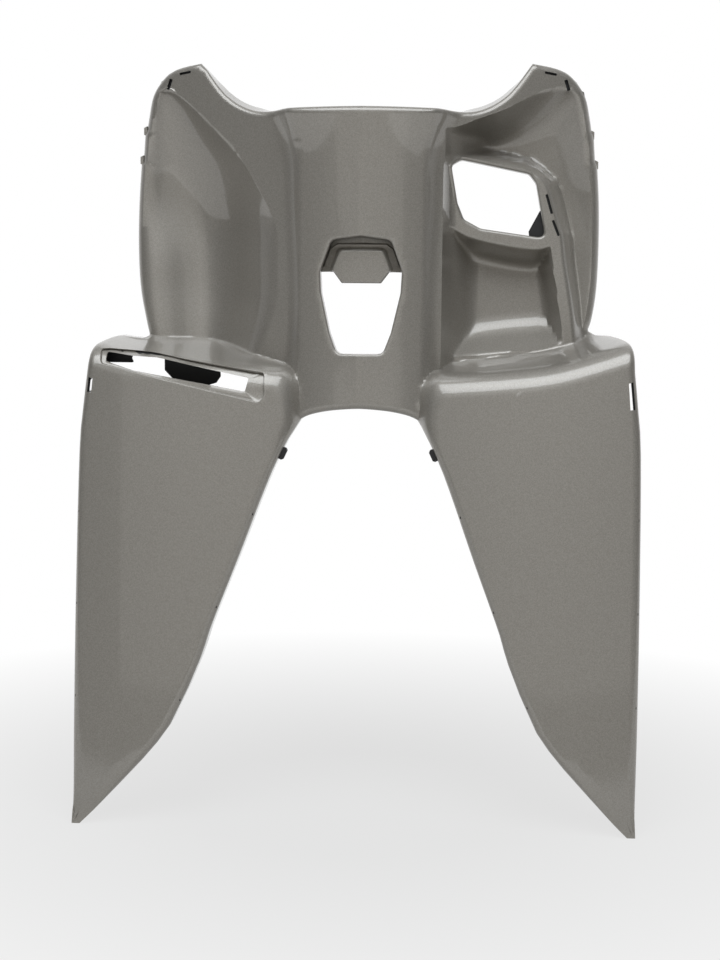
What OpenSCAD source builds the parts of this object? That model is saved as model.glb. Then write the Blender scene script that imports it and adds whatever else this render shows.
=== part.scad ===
// Inner leg shield of a scooter, one injection moulding, seen from the rider's side.
// X runs across with the middle of the scooter at 0, Z up from the tips of the wings,
// and Y away from the rider, so a smaller y stands nearer to the rider.

/* [Panel] */
// Greatest width, across the two wings
panel_w = 494; // [440:1:540]
// Height, wing tips to shoulder tips
panel_h = 669; // [600:1:740]
// Wall of the moulding
wall = 2.6; // [2:0.1:3.5]
// Depth of the flange that returns behind every outer edge
flange_d = 20; // [16:1:26]
// Radius that rolls the painted face over into that flange
edge_r = 6; // [4:0.5:8]

/* [Steering column] */
// How far the middle of the column stands towards the rider
column_out = 80; // [65:1:95]
// Half width of the column's front between its two crease lines
column_half = 56; // [48:1:62]
// Rise of the column's crown over those crease lines
column_crown = 14; // [6:1:20]

/* [Knee lobes] */
// Half width across the knee lobes
lobe_half = 215; // [205:1:225]
// Depth of the knee hollow as a share of its width
hollow_ratio = 0.3; // [0.15:0.01:0.4]
// Depth of the cavity round the pocket
cavity_d = 52; // [40:1:60]
// Depth of the bowl under the pocket
bowl_d = 36; // [26:1:44]

/* [Wings] */
// How far the top edge of a wing stands towards the rider
wing_out = 102; // [92:1:112]
// How much further its lower tip stands out
wing_lean = 60; // [30:1:80]
// Radius that rolls the wing over into the shelf at its top
roll_r = 22; // [14:1:26]
// How far that shelf rises on its way back to the lobe
shelf_rise = 6.5; // [5:0.5:9]

/* [Openings] */
// Depth of the latch tongue behind the column's face
tongue_in = 13; // [9:1:16]
// Radius of the corners of the lock opening
opening_r = 6; // [3:0.5:8]

/* [Fixings] */
// Outer diameter of a screw boss
boss_d = 11; // [9:0.5:13]
// Length of a boss behind the face
boss_len = 20; // [18:1:24]
// Pilot bore of a boss, for a 5 mm self-tapping screw
pilot_d = 4.2; // [3.6:0.1:4.6]
// Depth of that bore
pilot_len = 14; // [10:0.5:15]
// Length along the edge of the lug on each wing
lug_len = 11; // [8:0.5:14]

/* [Hidden] */
paint = [0.5, 0.48, 0.45];
eps = 0.01;

// Blends: smooth minimum and maximum of two depths, an ease from 0 to 1, a quarter-round rise
function smin(a, b, k) = let (h = max(k - abs(a - b), 0) / k) min(a, b) - h * h * k / 4;
function smax(a, b, k) = -smin(-a, -b, k);
function ease(a, b, v) = let (t = min(max((v - a) / (b - a), 0), 1)) t * t * (3 - 2 * t);
function dome(t) = let (u = 1 - min(max(t, 0), 1)) sqrt(1 - u * u);
function mix(a, b, t) = a + (b - a) * t;

// A smooth line through key points, n steps between each two
function bend(p, i, t) = let (
    a = p[max(i - 1, 0)], b = p[i], c = p[i + 1], d = p[min(i + 2, len(p) - 1)])
    0.5 * (2 * b + (c - a) * t + (2 * a - 5 * b + 4 * c - d) * t * t
        + (3 * b - a - 3 * c + d) * t * t * t);
function line_through(p, n) = [for (i = [0 : len(p) - 2]) for (k = [0 : n - 1]) bend(p, i, k / n)];
function smooth(p) = concat(line_through(p, 4), [p[len(p) - 1]]);

// Outline of a half, [x, z] with x outwards, clockwise from the middle of the top edge. The left
// lobe (side -1) runs further down than the right one (side 1), so the wings' top corners differ.
neck = [[70, 624], [100, 625], [127, 640], [149.5, panel_h]];
shoulder = [[149.5, panel_h], [172, 665.5], [186, 658.5], [198.5, 642.5], [204, 622], [206, 609]];
side_upper = [[208, 608], [210, 582]];
function side_lower(side) = concat([[212, 581], [lobe_half - 0.5, 546], [lobe_half, 508]],
    side > 0 ? [[lobe_half - 1.5, 468], [209, 440], [204.5, 428]] : [[lobe_half - 2.5, 468], [206, 438], [201, 418]]);
function wing_corner(side) = side > 0 ? [[213, 425.5], [225, 425.5], [235, 422], [239.5, 413], [240.5, 396]]
    : [[206, 416.5], [220, 421.5], [231, 420], [238, 411], [240.5, 396]];
wing_outer = [[240.5, 396], [243.5, 366], [panel_w / 2 - 0.5, 325], [panel_w / 2, 204], [panel_w / 2 - 1, 79],
    [244, 1]];
wing_heel = [[238, 0], [216, 22], [177, 64], [155, 95], [134, 145]];
wing_inner = [[131, 152], [125.5, 172], [102, 234], [77, 302], [62, 334], [51.5, 351.5]];
arch = [[51.5, 351.5], [43, 355.5], [25, 359.5], [0, 361.5]];
function outline(side) = concat([[0, 624.5]], line_through(neck, 4), line_through(shoulder, 2), side_upper,
    line_through(side_lower(side), 2), line_through(wing_corner(side), 2), line_through(wing_outer, 2),
    line_through(wing_heel, 3), line_through(wing_inner, 2), line_through(arch, 2), [[0, 361.5]]);
outline_left = outline(-1);
outline_right = outline(1);

// Distance from a point to the outline of the panel
function to_segment(p, a, b) = let (d = b - a, t = ((p - a) * d) / (d * d)) norm(p - a - d * min(max(t, 0), 1));
function to_edge(x, z) = let (p = [abs(x), z], line = x < 0 ? outline_left : outline_right)
    min([for (i = [0 : len(line) - 2]) to_segment(p, line[i], line[i + 1])]);

// Column: a crowned front between two crease lines, widening to the top, with sloping sides
column_mid_z = 530;
function column_edge(z) = column_half + 14 * pow(ease(555, 645, z), 2);
function column_front(z) = -column_out - 13 * pow((z - column_mid_z) / 165, 2);
function column(x, z) = let (a = abs(x), w = column_edge(z), u = min(a, w) / w, out = max(a - w, 0))
    column_front(z) + column_crown * u * u + 1.7 * out;

// Shoulder: the plain slope from the column's foot out to the side
valley_y = -48;
function shoulder_face(x, z) = valley_y + 0.42 * (abs(x) - 72) - 10 * ease(560, 420, z);

// Knee hollow on the left: from its crease line out to the rim
crease = smooth([[405, 96], [420, 87], [455, 75], [491, 75], [523, 79], [555, 95], [586, 115], [606, 134],
    [628, 157], [638, 169], [643, 178], [645, 192]]);
rim = smooth([[400, 193], [414, 196], [440, 202], [468, lobe_half - 8.5], [508, lobe_half - 7],
    [546, lobe_half - 7.5], [581, 204], [609, 200], [622, 197], [642, 191], [658, 180]]);
function crease_x(z) = lookup(z, crease);
function rim_x(z) = lookup(z, rim);
function hollow(x, z) = let (
    c = crease_x(z), r = rim_x(z), w = max(r - c, 1), s = min(max((abs(x) - c) / w, 0), 1),
    crisp = ease(480, 585, z), round_off = 16 * s * s * (1 - s) * (1 - s), sharp_off = 4 * s * (1 - s))
    hollow_ratio * w * mix(round_off, sharp_off, crisp);

// Where the shelf on top of a wing meets the lobe, and where the wing's rolled edge turns level
back_right = smooth([[60, 399], [84, 400.5], [126, 404], [167, 409], [205, 419], [239, 430]]);
back_left = smooth([[60, 403], [95, 407], [187, 414], [239, 424]]);
function back_line(x) = let (a = max(abs(x), 60))
    mix(lookup(a, back_left), lookup(a, back_right), ease(-60, 60, x));
function shelf_line(x) = back_line(x) - shelf_rise;

// Cavity on the right, from the column's side out to the rim and up to the hood along the neck
hood = smooth([[60, 609], [81, 610], [104, 619], [122, 626], [140, 635], [162, 646], [200, 660]]);
function hood_z(x) = lookup(x, hood);
function wall_x(z) = mix(71, 73.5, ease(555, 645, z));
function cavity(x, z) = let (
    s = min(max((x - 72) / (rim_x(z) - 72), 0), 1), floor_d = cavity_d * (1 - pow(s, 2.5)),
    sides = smin(3.2 * (x - wall_x(z)), mix(3.2, 1.6, ease(90, 170, x)) * (hood_z(x) - z), 8))
    max(smin(sides, floor_d, mix(12, 34, ease(80, 120, x))), 0);

// Pocket block, standing in the cavity, with its ridge on the right and the bowl under its foot
ridge = smooth([[400, 195], [420, 195], [457, 190], [493, 184], [516, 181], [525, 178], [561, 167], [572, 160],
    [590, 145]]);
block_head = smooth([[60, 579], [77, 582], [90, 586], [158, 574], [170, 570]]);
block_foot = smooth([[60, 536], [69, 531], [96, 514], [155, 504], [180, 515]]);
function ridge_x(z) = lookup(z, ridge);
function block_top(x) = lookup(x, block_head);
function rim_foot(x) = lookup(x, block_foot);
function block(x, z) = let (out = smax(x - ridge_x(z), z - block_top(x), 4))
    -30 + 0.12 * (x - 70) - 6 * ease(520, 430, z) + 6 * max(out, 0);
function bowl(x, z) = let (
    left = max(x - 70, 0), under = max(rim_foot(x) - z, 0),
    soft = smin(3.4 * left * left / (left + 3), 1.5 * (z - back_line(x) - 6), 44),
    crisp = smin(3.4 * (ridge_x(z) - 14 - x), 0.35 * under + 2.6 * under * under / (under + 9), 6))
    max(smin(smin(soft, crisp, 10), bowl_d, 18), 0);

function lobe(x, z) = x < 0
    ? shoulder_face(x, z) + hollow(x, z)
    : smin(shoulder_face(x, z) + cavity(x, z), block(x, z) + bowl(x, z), 8);

// Wing, rolled over at its top and towards the column, and the shelf behind that roll
function wing(x, z) = let (a = abs(x), t = smin(shelf_line(x) - z, 1.6 * (a - 53), 26))
    -wing_out - wing_lean * (1 - z / 400) + 0.0012 * pow(a - 165, 2)
    + roll_r * (1 - dome(t / roll_r)) + 7 * max(-t, 0);

// The painted face: y at any x and z
function roll_at(x, z) = edge_r + 4 * ease(185, 200, abs(x)) * ease(430, 470, z) * ease(650, 620, z);
function face_y(x, z) = let (r = roll_at(x, z))
    smin(smin(lobe(x, z), column(x, z), 9), wing(x, z), mix(8, 24, ease(62, 100, abs(x))))
    + r * (1 - dome(to_edge(x, z) / r));

// Grid of the face. Its columns run from edge to edge and follow the creases; its rows start level
// and bend to follow the arch between the wings, the shelf, the pocket block, the hood and the top edge.
arch_v = 352;
top_v = 655;
line_rows = [386, 393, 520, 578, 622, top_v];
half_arch = line_through(concat(arch, [[-20, 359.5]]), 2);
half_top = concat([[0, 624.5]], line_through(neck, 3), line_through(shoulder, 2));
function arch_z(x) = lookup(abs(x), half_arch);
function top_z(x) = abs(x) > 190 ? top_v : lookup(abs(x), half_top);
function line_shifts(x) = let (p = max(x, 60), right = ease(-20, 60, x), top = top_z(x)) [
    shelf_line(x) - line_rows[0], back_line(x) - line_rows[1],
    right * (rim_foot(min(p, 180)) - line_rows[2]), right * (block_top(min(p, 170)) - line_rows[3]),
    mix(0.71 * (top - top_v), smin(hood_z(p), top - 9, 8) - line_rows[4], right), top - top_v];
function arch_bend(v, x) = (arch_z(min(abs(x), 51.5)) - arch_v
    - (shelf_line(x) - line_rows[0]) * ease(290, line_rows[0], arch_v)) * ease(420, arch_v, v) * ease(80, 52, abs(x));
function shift(v, d, k) = v <= line_rows[0] ? d[0] * ease(290, line_rows[0], v)
    : k == 5 || v <= line_rows[k] ? mix(d[k - 1], d[k], (v - line_rows[k - 1]) / (line_rows[k] - line_rows[k - 1]))
    : shift(v, d, k + 1);
function row_z(v, x) = v + shift(v, line_shifts(x), 1) + (v < arch_v ? 0 : arch_bend(v, x));
function row_of(p, v, n) = n == 0 ? v : row_of(p, v + 0.7 * (p[1] - row_z(v, p[0])), n - 1);

// Where each row meets the outer and the inner edge of a side
function turned(p) = [for (k = [len(p) - 1 : -1 : 0]) p[k]];
function edge_keys(points, side) = [for (p = points) [row_of([side * p[0], p[1]], p[1], 30), p[0]]];
function outer_points(side) = concat([[245, 0]], [for (k = [len(wing_outer) - 2 : -1 : 1]) wing_outer[k]],
    turned(wing_corner(side)), turned(side_lower(side)), turned(side_upper),
    [[206, 609], [204, 622], [198.5, 642.5], [190, top_v]]);
outer_left = edge_keys(outer_points(-1), -1);
outer_right = edge_keys(outer_points(1), 1);
inner_left = edge_keys(concat(wing_heel, wing_inner), -1);
inner_right = edge_keys(concat(wing_heel, wing_inner), 1);
function outer_x(v, side) = lookup(v, side < 0 ? outer_left : outer_right);
function inner_x(v, side) = v <= arch_v ? lookup(v, side < 0 ? inner_left : inner_right)
    : mix(51.5, column_edge(v), ease(arch_v, 400, v));

// Stops across a row on the left and the right, with the number of columns between each two
left_steps = [1, 1, 2, 3, 1, 1, 2, 1, 1, 1];
middle_steps = [6];
right_steps = [1, 1, 1, 2, 4, 2, 1, 2, 1, 1];
fitted_v = [300, 405];
function stops_left(v) = let (
    o = outer_x(v, -1), n = inner_x(v, -1), e = min(3.4, (o - n) / 6), f = o - 2.4 * e,
    c = min(mix(mix(n, o, 0.4), crease_x(max(v, fitted_v[1])), ease(fitted_v[0], fitted_v[1], v)), f - 0.6 * e),
    g = min(2, (f - c) / 2))
    [-o, e - o, -f, -mix(c + g, f, 0.35), -c - g, -c, -c + min(2, (c - n) / 6), -mix(n, c, 0.45), -mix(n, c, 0.24),
        -mix(n, c, 0.1), -n];
function stops_right(v) = let (
    o = outer_x(v, 1), n = inner_x(v, 1), e = min(3.4, (o - n) / 6), f = o - 2.4 * e, w = wall_x(v),
    r = min(ridge_x(min(max(v, 400), 590)), f - e),
    plain = concat([n, n + e, n + 2.3 * e], [for (t = [0.2, 0.35, 0.7, 0.8, 0.86]) mix(n, o, t)], [f, o - e, o]),
    fitted = [n, mix(n, w, 0.5), w, w + 6, w + 21, r - 15, r - 1, r + min(6, 0.5 * (f - r)), f, o - e, o])
    mix(plain, fitted, ease(fitted_v[0], fitted_v[1], v));
function between(s, n) = [for (i = [0 : len(n) - 1]) for (k = [0 : n[i] - 1]) mix(s[i], s[i + 1], k / n[i])];
function row_x(v) = concat(between(stops_left(v), left_steps),
    between([-inner_x(v, -1), inner_x(v, 1)], middle_steps), between(stops_right(v), right_steps), [outer_x(v, 1)]);
rows_wing = [0, 8, 28, 64, 115, 180, 255, 325];
rows_shelf = [arch_v, 360, 366, 372, 377, 381, 384, 386, 389.5, 393, 397, 404];
rows_lobe = [415, 430, 447, 464, 482, 498, 508, 515, 520, 525, 533, 548, 563, 573, 578, 583, 593, 606, 617, 622,
    628, 638, 649, top_v];
rows = concat(rows_wing, rows_shelf, rows_lobe);
cols = len(row_x(0));
arch_row = len(rows_wing);
gap_left = len(between(stops_left(0), left_steps));
gap_right = gap_left + middle_steps[0];
function is_gap(i, j) = j < arch_row && i >= gap_left && i < gap_right;
face_points = [for (v = rows) [for (x = row_x(v)) let (z = row_z(v, x)) [x, face_y(x, z), z]]];

// Depth of the wall along Y that keeps its true thickness on a slope
function slope(a, b, k) = norm([b[0] - a[0], b[2] - a[2]]) < eps ? 0 : (b[1] - a[1]) / (b[k] - a[k]);
function wall_y(i, j) = let (
    sx = slope(face_points[j][max(i - 1, 0)], face_points[j][min(i + 1, cols - 1)], 0),
    sz = slope(face_points[max(j - 1, 0)][i], face_points[min(j + 1, len(rows) - 1)][i], 2))
    wall * min(sqrt(1 + sx * sx + sz * sz), 5);

// The neighbour towards the inside, for a point on an edge
function inward(i, j) = j < arch_row && i > 0 && i < cols - 1 && j > 0
    ? [i == gap_left ? i - 1 : i == gap_right ? i + 1 : i, j]
    : j == arch_row && i >= gap_left && i <= gap_right
        ? [i == gap_left ? i - 1 : i == gap_right ? i + 1 : i, j + 1]
        : j == 0 ? [i == 0 ? 1 : i == gap_left ? i - 1 : i == gap_right ? i + 1 : i == cols - 1 ? i - 1 : i, 1]
        : [min(max(i, 1), cols - 2), min(j, len(rows) - 2)];
function on_edge(i, j) = inward(i, j) != [i, j];
function inner_point(i, j, y) = let (p = face_points[j][i], q = face_points[inward(i, j)[1]][inward(i, j)[0]],
    d = [q[0] - p[0], 0, q[2] - p[2]], s = min(wall, 0.8 * norm(d))) [p[0], y, p[2]] + d / norm(d) * s;

// The moulded wall with its outer flange, closed. The flange rises behind the neck on each side.
neck_flare = 4.8;
module shell() {
    n = cols * len(rows);
    back_points = [for (j = [0 : len(rows) - 1]) for (i = [0 : cols - 1]) let (y = face_points[j][i][1] + wall_y(i, j))
        on_edge(i, j) ? inner_point(i, j, min(y, face_points[j][i][1] + flange_d / 2))
            : [face_points[j][i][0], y, face_points[j][i][2]]];
    quads = [for (j = [0 : len(rows) - 2]) for (i = [0 : cols - 2]) if (!is_gap(i, j)) let (a = j * cols + i)
        [a, a + cols, a + cols + 1, a + 1]];
    last = len(rows) - 1;
    border = [
        concat([for (i = [0 : gap_left]) [i, 0]], [for (j = [1 : arch_row]) [gap_left, j]],
            [for (i = [gap_left + 1 : gap_right]) [i, arch_row]], [for (j = [arch_row - 1 : -1 : 0]) [gap_right, j]],
            [for (i = [gap_right + 1 : cols - 1]) [i, 0]], [for (j = [1 : last]) [cols - 1, j]],
            [for (i = [cols - 2 : -1 : 0]) [i, last]], [for (j = [last - 1 : -1 : 1]) [0, j]])][0];
    m = len(border);
    flare = [for (b = border) b[1] == last ? neck_flare * ease(72, 100, abs(face_points[last][b[0]][0]))
        * ease(149, 128, abs(face_points[last][b[0]][0])) : 0];
    rim_outer = [for (k = [0 : m - 1]) face_points[border[k][1]][border[k][0]] + [0, flange_d, flare[k]]];
    rim_inner = [for (k = [0 : m - 1]) let (b = border[k])
        inner_point(b[0], b[1], face_points[b[1]][b[0]][1] + flange_d) + [0, 0, flare[k]]];
    at = [for (b = border) b[1] * cols + b[0]];
    rings = [at, [for (k = [0 : m - 1]) 2 * n + k], [for (k = [0 : m - 1]) 2 * n + m + k], [for (v = at) v + n]];
    front_faces = [for (q = quads) each [[q[0], q[1], q[2]], [q[0], q[2], q[3]]]];
    back_faces = [for (q = quads) each [[q[2] + n, q[1] + n, q[0] + n], [q[3] + n, q[2] + n, q[0] + n]]];
    rim_faces = [for (r = [0 : 2]) for (k = [0 : m - 1]) let (l = (k + 1) % m, a = rings[r], b = rings[r + 1])
        each [[a[k], a[l], b[l]], [a[k], b[l], b[k]]]];
    polyhedron(concat([for (row = face_points) each row], back_points, rim_outer, rim_inner),
        concat(front_faces, back_faces, rim_faces));
}

// Extrusion along Y of a shape drawn in x and z
module through(y0, y1) { translate([0, y1, 0]) rotate([90, 0, 0]) linear_extrude(y1 - y0) children(); }
y_near = -200;
y_far = 80;

// Lock opening, full shape, and the tongue that hangs in its upper part
module opening_2d() offset(opening_r) offset(-opening_r)
    polygon([[-26, 509], [0, 512.5], [26, 509], [36, 482], [35, 463], [27, 428], [20, 409.5], [-20, 409.5],
        [-27, 428], [-35, 463], [-36, 482]]);
module tongue_2d(inset) offset(3) offset(-3 - inset)
    polygon([[-40, 520], [40, 520], [40, 481], [25, 481.5], [17.5, 471.5], [-17.5, 471.5], [-25, 481.5], [-40, 481]]);
module tongue_pad_2d() offset(3) offset(-3)
    polygon([[-24, 496], [-19, 500.5], [19, 500.5], [24, 496], [25, 482], [17.5, 471.5], [-17.5, 471.5], [-25, 482]]);

// Pocket opening in the right lobe
module pocket_2d() offset(5) offset(-5)
    polygon([[78, 577], [87, 582.5], [151, 570], [159, 560], [167, 514.5], [105, 521.5], [90, 529.5], [84, 544]]);

// Slot through the top edge of the left wing, the rebate it stands in, and the bracket behind it
slot_line = [[-226, 411.5], [-181, 411], [-98, 390], [-101, 375], [-224, 404.5]];
rebate_line = [[-227, 413], [-181, 412.5], [-84, 391], [-83, 373], [-88, 367.5], [-226, 401]];
rebate_d = 4;
module slot_2d() offset(2) offset(-2) polygon(slot_line);
module rebate_2d() offset(3) offset(-3) polygon(rebate_line);
module bracket_2d() polygon([[-178, 410.8], [-178, 392], [-170, 383.5], [-141, 378], [-131, 381], [-127, 387],
    [-128, 401.5]]);

// Two slits at each shoulder, where the front cover hooks in
module slits_2d() for (side = [-1, 1]) scale([side, 1]) {
    translate([166, 660.5]) rotate(-8) square([11, 2.4], center = true);
    translate([181.5, 651]) rotate(18) square([3.4, 11], center = true);
}

// A closed patch of the face's form, from `front` to `back` behind it, over a box in x and z
module patch(low, high, nx, nz, front, back) {
    n = (nx + 1) * (nz + 1);
    w = nx + 1;
    face = [for (j = [0 : nz]) for (i = [0 : nx]) let (
        x = mix(low[0], high[0], i / nx), z = mix(low[1], high[1], j / nz)) [x, face_y(x, z), z]];
    quads = [for (j = [0 : nz - 1]) for (i = [0 : nx - 1]) let (a = j * w + i) [a, a + w, a + w + 1, a + 1]];
    border = concat([for (i = [0 : nx]) i], [for (j = [1 : nz]) j * w + nx], [for (i = [nx - 1 : -1 : 0]) nz * w + i],
        [for (j = [nz - 1 : -1 : 1]) j * w]);
    walls = [for (k = [0 : len(border) - 1]) let (a = border[k], b = border[(k + 1) % len(border)])
        each [[a, b, b + n], [a, b + n, a + n]]];
    polyhedron(concat([for (p = face) p + [0, front, 0]], [for (p = face) p + [0, back, 0]]), concat(
        [for (q = quads) each [[q[0], q[1], q[2]], [q[0], q[2], q[3]]]],
        [for (q = quads) each [[q[2] + n, q[1] + n, q[0] + n], [q[3] + n, q[2] + n, q[0] + n]]], walls));
}

// Collars that run back from the edges of the openings
collar_d = 13;
module collars() {
    intersection() {
        patch([-42, 404], [42, 518], 4, 6, wall / 2, collar_d + 3);
        through(y_near, y_far) difference() { offset(wall) opening_2d(); opening_2d(); }
    }
    intersection() {
        patch([72, 508], [174, 590], 6, 5, wall / 2, collar_d);
        through(y_near, y_far) difference() { offset(wall) pocket_2d(); pocket_2d(); }
    }
}

// Floor of the slot's rebate, and the bracket that hangs behind the slot
module rebate() {
    intersection() {
        patch([-230, 364], [-80, 416], 7, 6, rebate_d, rebate_d + wall);
        through(y_near, y_far) difference() { offset(wall) rebate_2d(); slot_2d(); }
    }
    through(bracket_y, bracket_y + wall) bracket_2d();
}
bracket_y = -56;
module rebate_cut() intersection() {
    patch([-230, 364], [-80, 416], 7, 6, -40, rebate_d);
    through(y_near, y_far) rebate_2d();
}

// Latch tongue: a plate behind the column's face with a raised pad, in the top of the lock opening
module tongue() {
    intersection() {
        patch([-42, 468], [42, 518], 4, 3, tongue_in, tongue_in + wall);
        through(y_near, y_far) intersection() { offset(wall / 2) opening_2d(); tongue_2d(0); }
    }
    intersection() {
        patch([-30, 468], [30, 508], 4, 2, tongue_in - 5, tongue_in + 1);
        through(y_near, y_far) tongue_pad_2d();
    }
}

// Ribs behind the wings and the column
rib_d = 9;
module ribs() {
    for (side = [-1, 1]) intersection() {
        patch(side > 0 ? [70, 60] : [-246, 60], side > 0 ? [246, 345] : [-70, 345], 5, 6, wall / 2, rib_d);
        through(y_near, y_far) for (z = [110, 190, 270])
            translate([side * mix(inner_x(z, side), outer_x(z, side), 0.5), z])
            square([outer_x(z, side) - inner_x(z, side) - 3, 1.8], center = true);
    }
    intersection() {
        patch([-40, 518], [40, 618], 2, 4, wall / 2, rib_d);
        through(y_near, y_far) for (side = [-1, 1]) translate([side * 24, 566]) square([1.8, 100], center = true);
    }
}

// The whole free-form moulding
module skin() {
    difference() {
        shell();
        through(y_near, y_far) { opening_2d(); pocket_2d(); slot_2d(); slits_2d(); }
        rebate_cut();
    }
    rebate();
    collars();
    tongue();
    ribs();
}

// Screw bosses on the hidden side, [x, z], the column's upper one first
boss_places = [[0, 600], [0, 384], [-152, 655], [152, 655], [-222, 388], [222, 388], [-226, 150], [226, 150],
    [-112, 236], [112, 236]];
function boss_end(p) = face_y(p[0], p[1]) + boss_len;
function boss_root(p) = max([for (a = [0 : 45 : 315])
    face_y(p[0] + boss_d / 2 * cos(a), p[1] + boss_d / 2 * sin(a))]) + 0.6;
module rod(p, y0, y1, d) translate([p[0], y1, p[1]]) rotate([90, 0, 0]) cylinder(d = d, h = y1 - y0, $fn = 24);
module bosses() for (p = boss_places) rod(p, boss_root(p), boss_end(p), boss_d);
module pilot_bores() for (p = boss_places) rod(p, boss_end(p) - pilot_len, boss_end(p) + eps, pilot_d);

// Lug on the inner edge of each wing, with its corners cut
module lugs() for (side = [-1, 1]) scale([side, 1, 1])
    through(face_y(72, 320) + 6, face_y(72, 320) + 13) translate([64.5, 327]) rotate(-65)
    polygon([[0, 2], [lug_len, 2], [lug_len, -1.4], [lug_len - 1.5, -3], [1.5, -3], [0, -1.4]]);

module leg_shield() color(paint) translate([0, -boss_end(boss_places[0]), -boss_places[0][1]]) difference() {
    union() {
        resize([panel_w, 0, 0]) skin();
        bosses();
        lugs();
    }
    pilot_bores();
}

leg_shield();
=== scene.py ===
import math
import bmesh
import bpy
import numpy as np
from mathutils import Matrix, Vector


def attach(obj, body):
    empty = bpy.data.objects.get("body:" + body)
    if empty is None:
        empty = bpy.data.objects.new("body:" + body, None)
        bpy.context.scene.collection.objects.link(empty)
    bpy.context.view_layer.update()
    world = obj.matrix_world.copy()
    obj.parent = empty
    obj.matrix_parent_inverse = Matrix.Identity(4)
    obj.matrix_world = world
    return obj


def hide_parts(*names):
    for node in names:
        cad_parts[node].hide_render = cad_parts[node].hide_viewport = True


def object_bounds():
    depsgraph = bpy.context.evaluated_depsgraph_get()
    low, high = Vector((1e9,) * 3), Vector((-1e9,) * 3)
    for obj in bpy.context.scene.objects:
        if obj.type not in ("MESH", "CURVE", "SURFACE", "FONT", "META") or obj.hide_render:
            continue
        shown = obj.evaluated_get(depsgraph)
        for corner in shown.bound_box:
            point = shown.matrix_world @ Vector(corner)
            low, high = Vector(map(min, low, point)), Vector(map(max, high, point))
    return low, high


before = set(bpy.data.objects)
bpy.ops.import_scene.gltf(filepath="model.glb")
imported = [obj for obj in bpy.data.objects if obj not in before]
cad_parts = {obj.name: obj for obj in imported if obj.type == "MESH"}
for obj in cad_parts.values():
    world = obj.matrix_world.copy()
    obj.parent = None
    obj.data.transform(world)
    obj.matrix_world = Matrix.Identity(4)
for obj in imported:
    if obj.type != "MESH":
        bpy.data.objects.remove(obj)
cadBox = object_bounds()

print("stage: frame loaded")

# ---- small helpers

def srgb(code):
    # sRGB hex to linear, with alpha
    channels = [int(code[i:i + 2], 16) / 255 for i in (0, 2, 4)]
    return [c / 12.92 if c <= 0.04045 else ((c + 0.055) / 1.055) ** 2.4 for c in channels] + [1.0]


def mix(a, b, t):
    return a + (b - a) * t


def ease(a, b, v):
    t = np.clip((v - a) / (b - a), 0, 1)
    return t * t * (3 - 2 * t)


def dome(t):
    u = 1 - np.clip(t, 0, 1)
    return np.sqrt(np.maximum(1 - u * u, 0))


def softMin(a, b, k):
    h = np.maximum(k - np.abs(a - b), 0) / k
    return np.minimum(a, b) - h * h * k / 4


def softMax(a, b, k):
    return -softMin(-a, -b, k)


def lineThrough(keys, steps):
    # smooth line through key points, without the last one
    p = np.array(keys, float)
    out = []
    for i in range(len(p) - 1):
        a, b, c, d = p[max(i - 1, 0)], p[i], p[i + 1], p[min(i + 2, len(p) - 1)]
        for k in range(steps):
            t = k / steps
            out.append(0.5 * (2 * b + (c - a) * t + (2 * a - 5 * b + 4 * c - d) * t * t
                              + (3 * b - a - 3 * c + d) * t ** 3))
    return out


def curve(keys, steps=8):
    # smooth function of one value through keys [value, result], rising in value
    pts = np.array(lineThrough(keys, steps) + [np.array(keys[-1], float)])
    return lambda v: np.interp(v, pts[:, 0], pts[:, 1])


# ---- the leg shield, in millimetres: x across, z up from the wing tips, y away from the rider

shieldSizes = {
    "height": 669, "wall": 2.6, "flangeDepth": 20, "edgeRadius": 6,
    "columnOut": 80, "columnHalf": 56, "columnCrown": 14,
    "hollowRatio": 0.3, "cavityDepth": 52, "bowlDepth": 36,
    "wingOut": 102, "wingLean": 60, "shelfRise": 6.5, "rollRadius": 22,
    "originY": -62.34, "originZ": 600,
    "neckFlare": 4.8, "rebateDepth": 4, "tongueIn": 13, "padRise": 5, "ribDepth": 9,
    "bossWidth": 11, "bossLength": 20, "pilotWidth": 4.2, "pilotDepth": 14, "lugLength": 11,
}
size = shieldSizes

neck = [[70, 624], [100, 625], [127, 640], [149.5, size["height"]]]
shoulder = [[149.5, size["height"]], [172, 665.5], [186, 658.5], [198.5, 642.5], [204, 622], [206, 609]]
sideUpper = [[208, 608], [210, 582]]
sideLower = {1: [[212, 581], [214.5, 546], [215, 508], [213.5, 468], [209, 440], [204.5, 428]],
             -1: [[212, 581], [214.5, 546], [215, 508], [212.5, 468], [206, 438], [201, 418]]}
wingCorner = {1: [[213, 425.5], [225, 425.5], [235, 422], [239.5, 413], [240.5, 396]],
              -1: [[206, 416.5], [220, 421.5], [231, 420], [238, 411], [240.5, 396]]}
wingOuter = [[240.5, 396], [243.5, 366], [246.5, 325], [247, 204], [246, 79], [244, 1]]
wingHeel = [[238, 0], [216, 22], [177, 64], [155, 95], [134, 145]]
wingInner = [[131, 152], [125.5, 172], [102, 234], [77, 302], [62, 334], [51.5, 351.5]]
archLine = [[51.5, 351.5], [43, 355.5], [25, 359.5], [0, 361.5]]


def halfOutline(side):
    return np.array([[0, 624.5]] + lineThrough(neck, 6) + lineThrough(shoulder, 4) + sideUpper
                    + lineThrough(sideLower[side], 4) + lineThrough(wingCorner[side], 4)
                    + lineThrough(wingOuter, 4) + lineThrough(wingHeel, 5) + lineThrough(wingInner, 4)
                    + lineThrough(archLine, 4) + [[0, 361.5]])


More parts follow.
